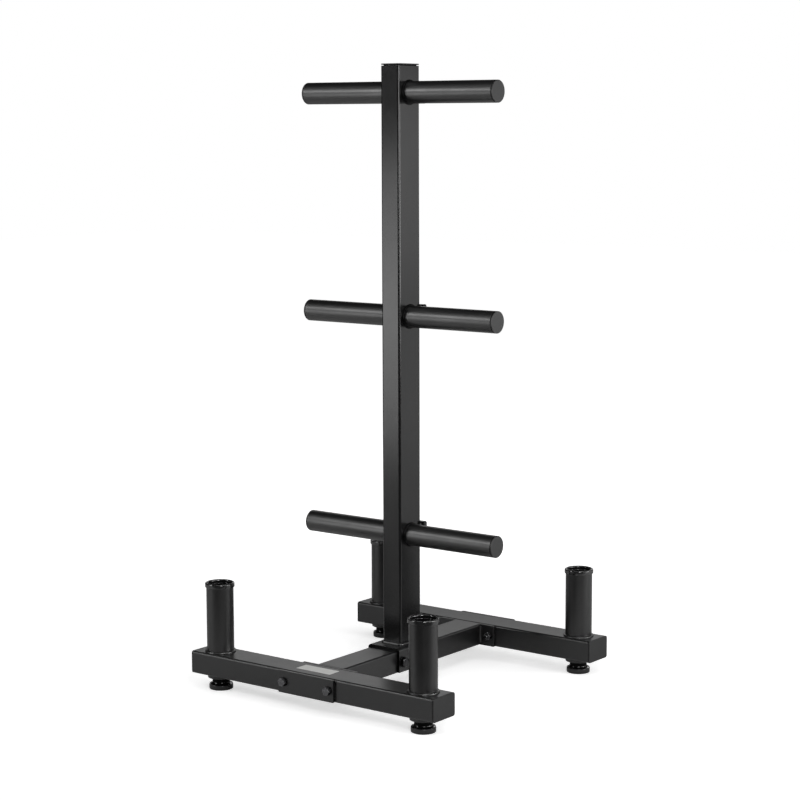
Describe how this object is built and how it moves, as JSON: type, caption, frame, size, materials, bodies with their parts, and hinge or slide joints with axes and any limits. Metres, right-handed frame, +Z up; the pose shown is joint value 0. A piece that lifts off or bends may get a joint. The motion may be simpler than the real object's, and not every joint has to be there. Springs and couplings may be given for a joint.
{
  "type": "weight plate tree",
  "caption": "Black steel weight plate tree: bolted H-shaped base, box upright, round pegs on both sides, bar sleeves with collars at the base's corners, and screw levelling feet.",
  "frame": {"origin": "on the floor under the middle of the upright, the centre of the bounding box's bottom", "axes": "+Z up along the upright; X along the pegs and the foot beams; Y along the cross beam, with the bare label's foot beam at -Y"},
  "size_m": [0.664, 0.6918, 1.3645],
  "materials": {
    "upright_paint": "satin black powder coat",
    "base_paint": "satin black powder coat",
    "peg_paint": "satin black powder coat, a little glossier than the upright",
    "sleeve_paint": "satin black powder coat",
    "black_plastic": "fine-grained black plastic",
    "collar_plastic": "satin black plastic",
    "pad_plastic": "glossy black plastic",
    "stud_steel": "black zinc",
    "fastener_steel": "black zinc",
    "label_film": "pale bare film"
  },
  "bodies": {
    "frame": {"upright": "upright_paint", "upright_cap": "black_plastic", "saddle": "base_paint", "cross_beam": "base_paint", "front_joint_plate": "base_paint", "rear_joint_plate": "base_paint", "front_foot_beam": "base_paint", "rear_foot_beam": "base_paint", "front_clamp_plate": "base_paint", "rear_clamp_plate": "base_paint", "beam_cap_front_left": "black_plastic", "beam_cap_front_right": "black_plastic", "beam_cap_rear_right": "black_plastic", "beam_cap_rear_left": "black_plastic", "bar_sleeve_front_left": "sleeve_paint", "bar_sleeve_front_right": "sleeve_paint", "bar_sleeve_rear_right": "sleeve_paint", "bar_sleeve_rear_left": "sleeve_paint", "sleeve_collar_front_left": "collar_plastic", "sleeve_collar_front_right": "collar_plastic", "sleeve_collar_rear_right": "collar_plastic", "sleeve_collar_rear_left": "collar_plastic", "foot_boss_front_left": "base_paint", "foot_boss_front_right": "base_paint", "foot_boss_rear_right": "base_paint", "foot_boss_rear_left": "base_paint", "peg_low_left": "peg_paint", "peg_low_right": "peg_paint", "peg_middle_left": "peg_paint", "peg_middle_right": "peg_paint", "peg_top_left": "peg_paint", "peg_top_right": "peg_paint", "peg_cap_low_left": "black_plastic", "peg_cap_low_right": "black_plastic", "peg_cap_middle_left": "black_plastic", "peg_cap_middle_right": "black_plastic", "peg_cap_top_left": "black_plastic", "peg_cap_top_right": "black_plastic", "back_plate_low": "upright_paint", "back_plate_middle": "upright_paint", "back_plate_top": "upright_paint", "saddle_bolts": "fastener_steel", "saddle_washers": "fastener_steel", "saddle_nuts": "fastener_steel", "clamp_bolts": "fastener_steel", "clamp_washers": "fastener_steel", "clamp_nuts": "fastener_steel", "label": "label_film"},
    "pad_front_left": {"foot_pad_front_left": "pad_plastic"},
    "stud_front_left": {"foot_stud_front_left": "stud_steel"},
    "pad_front_right": {"foot_pad_front_right": "pad_plastic"},
    "stud_front_right": {"foot_stud_front_right": "stud_steel"},
    "pad_rear_right": {"foot_pad_rear_right": "pad_plastic"},
    "stud_rear_right": {"foot_stud_rear_right": "stud_steel"},
    "pad_rear_left": {"foot_pad_rear_left": "pad_plastic"},
    "stud_rear_left": {"foot_stud_rear_left": "stud_steel"}
  },
  "joints": [
    {"name": "foot_travel_front_left", "type": "slide", "parent": "frame", "child": "pad_front_left", "axis": [0, 0, 1], "range_m": [-0.012, 0]},
    {"name": "foot_turn_front_left", "type": "hinge", "parent": "pad_front_left", "child": "stud_front_left", "pos_m": [-0.279, -0.294, 0], "axis": [0, 0, 1], "range_deg": [-2469, 0]},
    {"name": "foot_travel_front_right", "type": "slide", "parent": "frame", "child": "pad_front_right", "axis": [0, 0, 1], "range_m": [-0.012, 0]},
    {"name": "foot_turn_front_right", "type": "hinge", "parent": "pad_front_right", "child": "stud_front_right", "pos_m": [0.279, -0.294, 0], "axis": [0, 0, 1], "range_deg": [-2469, 0]},
    {"name": "foot_travel_rear_right", "type": "slide", "parent": "frame", "child": "pad_rear_right", "axis": [0, 0, 1], "range_m": [-0.012, 0]},
    {"name": "foot_turn_rear_right", "type": "hinge", "parent": "pad_rear_right", "child": "stud_rear_right", "pos_m": [0.279, 0.294, 0], "axis": [0, 0, 1], "range_deg": [-2469, 0]},
    {"name": "foot_travel_rear_left", "type": "slide", "parent": "frame", "child": "pad_rear_left", "axis": [0, 0, 1], "range_m": [-0.012, 0]},
    {"name": "foot_turn_rear_left", "type": "hinge", "parent": "pad_rear_left", "child": "stud_rear_left", "pos_m": [-0.279, 0.294, 0], "axis": [0, 0, 1], "range_deg": [-2469, 0]}
  ],
  "couplings": [
    {"joint": "foot_turn_front_left", "follows": "foot_travel_front_left", "rad_per_m": 3590.4},
    {"joint": "foot_turn_front_right", "follows": "foot_travel_front_right", "rad_per_m": 3590.4},
    {"joint": "foot_turn_rear_right", "follows": "foot_travel_rear_right", "rad_per_m": 3590.4},
    {"joint": "foot_turn_rear_left", "follows": "foot_travel_rear_left", "rad_per_m": 3590.4}
  ]
}
